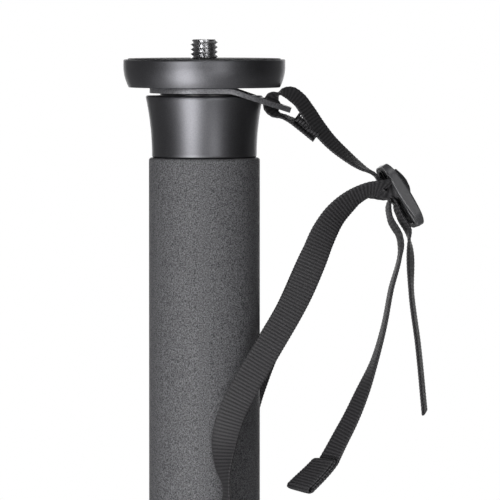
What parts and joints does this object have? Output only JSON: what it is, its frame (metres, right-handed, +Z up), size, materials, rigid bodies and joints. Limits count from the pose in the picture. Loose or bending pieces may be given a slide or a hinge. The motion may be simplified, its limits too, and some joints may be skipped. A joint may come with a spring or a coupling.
{
  "type": "camera monopod",
  "caption": "Telescoping camera monopod with a round camera plate and screw, flared neck, foam grip, wrist strap on a swivel ring, twist locks and a rubber foot.",
  "frame": {"origin": "centre of the camera seat, where the camera screw leaves the pad", "axes": "+Z up along the camera screw, +X towards the strap, +Y away from the picture's camera"},
  "size_m": [0.1035, 0.056, 0.5436],
  "materials": {
    "anodised": "black satin anodised",
    "tube_metal": "dark satin anodised",
    "bare_aluminium": "turned",
    "steel": "turned stainless",
    "ring_metal": "black painted",
    "rubber": "matt",
    "foam": "speckled cell foam",
    "nylon": "natural nylon",
    "moulding": "moulded black",
    "webbing": "black woven nylon"
  },
  "bodies": {
    "head_section": {"plate_pad": "rubber", "camera_plate": "anodised", "camera_screw": "steel", "ring_washer": "moulding", "neck": "anodised", "foam_grip": "foam", "tube_1": "tube_metal", "lock_ferrule_1": "bare_aluminium", "lock_collet_1": "nylon"},
    "strap_swivel": {"strap_ring": "ring_metal", "strap_link": "webbing", "strap_slider": "moulding", "wrist_strap": "webbing"},
    "collar_1": {"lock_collar_1": "anodised", "lock_band_1": "rubber"},
    "section_2": {"tube_2": "tube_metal", "guide_bush_2": "moulding", "lock_ferrule_2": "bare_aluminium", "lock_collet_2": "nylon"},
    "collar_2": {"lock_collar_2": "anodised", "lock_band_2": "rubber"},
    "section_3": {"tube_3": "tube_metal", "guide_bush_3": "moulding", "lock_ferrule_3": "bare_aluminium", "lock_collet_3": "nylon"},
    "collar_3": {"lock_collar_3": "anodised", "lock_band_3": "rubber"},
    "section_4": {"tube_4": "tube_metal", "guide_bush_4": "moulding", "foot_plug": "bare_aluminium", "rubber_foot": "rubber"}
  },
  "joints": [
    {"name": "strap_swivel_turn", "type": "hinge", "parent": "head_section", "child": "strap_swivel", "pos_m": [0, 0, -0.0108], "axis": [0, 0, 1], "continuous": true},
    {"name": "lock_1_turn", "type": "hinge", "parent": "head_section", "child": "collar_1", "pos_m": [0, 0, -0.4185], "axis": [0, 0, 1], "range_deg": [0, 90]},
    {"name": "section_2_slide", "type": "slide", "parent": "head_section", "child": "section_2", "axis": [0, 0, -1], "range_m": [0, 0.32]},
    {"name": "lock_2_turn", "type": "hinge", "parent": "section_2", "child": "collar_2", "pos_m": [0, 0, -0.4553], "axis": [0, 0, 1], "range_deg": [0, 90]},
    {"name": "section_3_slide", "type": "slide", "parent": "section_2", "child": "section_3", "axis": [0, 0, -1], "range_m": [0, 0.32]},
    {"name": "lock_3_turn", "type": "hinge", "parent": "section_3", "child": "collar_3", "pos_m": [0, 0, -0.4921], "axis": [0, 0, 1], "range_deg": [0, 90]},
    {"name": "section_4_slide", "type": "slide", "parent": "section_3", "child": "section_4", "axis": [0, 0, -1], "range_m": [0, 0.32]}
  ]
}
